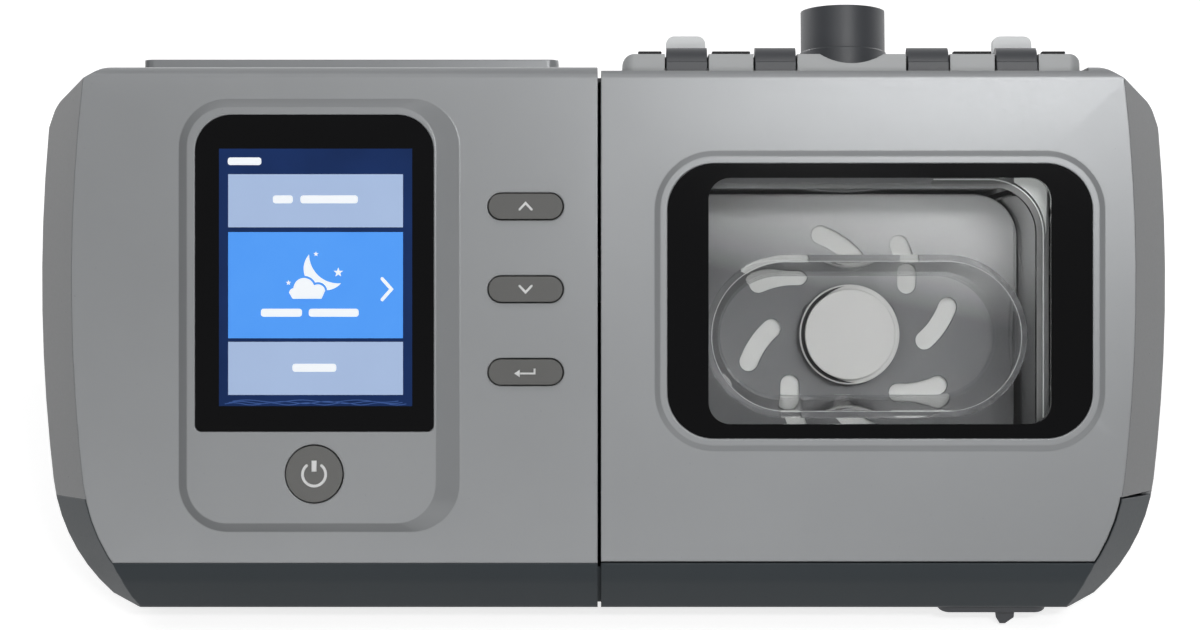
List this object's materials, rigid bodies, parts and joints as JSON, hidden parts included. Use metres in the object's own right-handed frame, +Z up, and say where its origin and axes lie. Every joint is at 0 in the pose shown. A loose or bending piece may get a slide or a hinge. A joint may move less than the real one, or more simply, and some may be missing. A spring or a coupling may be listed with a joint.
{
  "type": "bilevel pap machine",
  "caption": "Bedside pressure blower with a screen, keys and a docked humidifier whose front lid swings up over a clear water tank.",
  "frame": {"origin": "middle of the footprint, on the surface the machine stands on", "axes": "+X to the viewer's right along the long side, +Y from the front to the rear, +Z up"},
  "size_m": [0.29, 0.18, 0.1362],
  "materials": {
    "body_grey": "satin light grey moulding",
    "base_slate": "satin dark slate moulding",
    "screen_glass": "black bordered glass",
    "display": "lit display",
    "board_green": "circuit board",
    "key_grey": "satin grey key",
    "gloss_black": "gloss black frame",
    "clear": "clear moulding",
    "dark_grey": "satin dark grey moulding",
    "deck_light": "satin pale moulding",
    "white_plastic": "white moulding",
    "rubber_black": "soft black rubber",
    "silicone": "pale silicone",
    "steel": "plain steel",
    "aluminium": "plain aluminium",
    "foam": "pleated filter medium"
  },
  "bodies": {
    "main_unit": {"main_front_cover": "body_grey", "main_rear_housing": "body_grey", "main_base_tray": "base_slate", "screen_glass": "screen_glass", "display_panel": "display", "control_board": "board_green", "board_screws": "steel", "key_switches": "steel", "blower_housing": "white_plastic", "blower_cover": "white_plastic", "blower_motor": "steel", "blower_mounts": "rubber_black", "air_filter": "foam", "outlet_duct": "silicone", "dock_seal": "rubber_black", "main_board": "board_green", "power_inlet": "gloss_black", "main_feet": "rubber_black", "main_screws": "steel"},
    "up_key": {"up_button": "key_grey"},
    "down_key": {"down_button": "key_grey"},
    "enter_key": {"enter_button": "key_grey"},
    "power_key": {"power_button": "key_grey"},
    "impeller": {"blower_impeller": "dark_grey"},
    "filter_door": {"filter_door": "dark_grey"},
    "card_flap": {"card_slot_cover": "rubber_black"},
    "humidifier": {"humidifier_housing": "body_grey", "humidifier_base_tray": "base_slate", "hinge_deck": "deck_light", "hinge_pins": "steel", "deck_pads": "rubber_black", "outlet_tube": "dark_grey", "outlet_seal": "silicone", "latch_guide": "dark_grey", "tank_body": "clear", "tank_gasket": "silicone", "tank_cover": "dark_grey", "vent_plate": "dark_grey", "diffuser_disc": "white_plastic", "tank_bay": "dark_grey", "inlet_duct": "dark_grey", "heater_springs": "steel", "heater_carrier": "gloss_black", "humidifier_feet": "rubber_black", "humidifier_screws": "steel"},
    "lid": {"lid_shell": "body_grey", "lid_hinge_arms": "dark_grey", "window_frame": "gloss_black", "window_lens": "clear", "window_seal": "rubber_black"},
    "latch": {"latch_slider": "dark_grey"},
    "cap": {"fill_cap": "white_plastic"},
    "heater": {"heater_plate": "aluminium"}
  },
  "joints": [
    {"name": "up_key_press", "type": "slide", "parent": "main_unit", "child": "up_key", "axis": [0, 0.866, -0.5], "range_m": [0, 0.0009], "stiffness_N_per_m": 300, "springref_m": -0.001},
    {"name": "down_key_press", "type": "slide", "parent": "main_unit", "child": "down_key", "axis": [0, 0.866, -0.5], "range_m": [0, 0.0009], "stiffness_N_per_m": 300, "springref_m": -0.001},
    {"name": "enter_key_press", "type": "slide", "parent": "main_unit", "child": "enter_key", "axis": [0, 0.866, -0.5], "range_m": [0, 0.0009], "stiffness_N_per_m": 300, "springref_m": -0.001},
    {"name": "power_key_press", "type": "slide", "parent": "main_unit", "child": "power_key", "axis": [0, 0.866, -0.5], "range_m": [0, 0.0009], "stiffness_N_per_m": 300, "springref_m": -0.001},
    {"name": "impeller_spin", "type": "hinge", "parent": "main_unit", "child": "impeller", "pos_m": [-0.083, 0.026, 0.0196], "axis": [0, 0, 1], "continuous": true},
    {"name": "filter_door_swing", "type": "hinge", "parent": "main_unit", "child": "filter_door", "pos_m": [-0.111, 0.0886, 0.03176], "axis": [-1, 0, 0], "range_deg": [0, 80]},
    {"name": "card_flap_swing", "type": "hinge", "parent": "main_unit", "child": "card_flap", "pos_m": [-0.056, 0.0892, 0.03636], "axis": [-1, 0, 0], "range_deg": [0, 80]},
    {"name": "humidifier_dock", "type": "slide", "parent": "main_unit", "child": "humidifier", "axis": [1, 0, 0], "range_m": [0, 0.025]},
    {"name": "lid_swing", "type": "hinge", "parent": "humidifier", "child": "lid", "pos_m": [0.0627, -0.01992, 0.13028], "axis": [-1, 0, 0], "range_deg": [0, 100]},
    {"name": "latch_slide", "type": "slide", "parent": "humidifier", "child": "latch", "axis": [-1, 0, 0], "range_m": [0, 0.0072]},
    {"name": "cap_turn", "type": "hinge", "parent": "humidifier", "child": "cap", "pos_m": [0.065, -0.02416, 0.05294], "axis": [0, -0.866, 0.5], "range_deg": [0, 90]},
    {"name": "heater_float", "type": "slide", "parent": "humidifier", "child": "heater", "axis": [0, 0, -1], "range_m": [0, 0.002], "stiffness_N_per_m": 600, "springref_m": -0.004, "deforming": ["heater_springs"]}
  ]
}
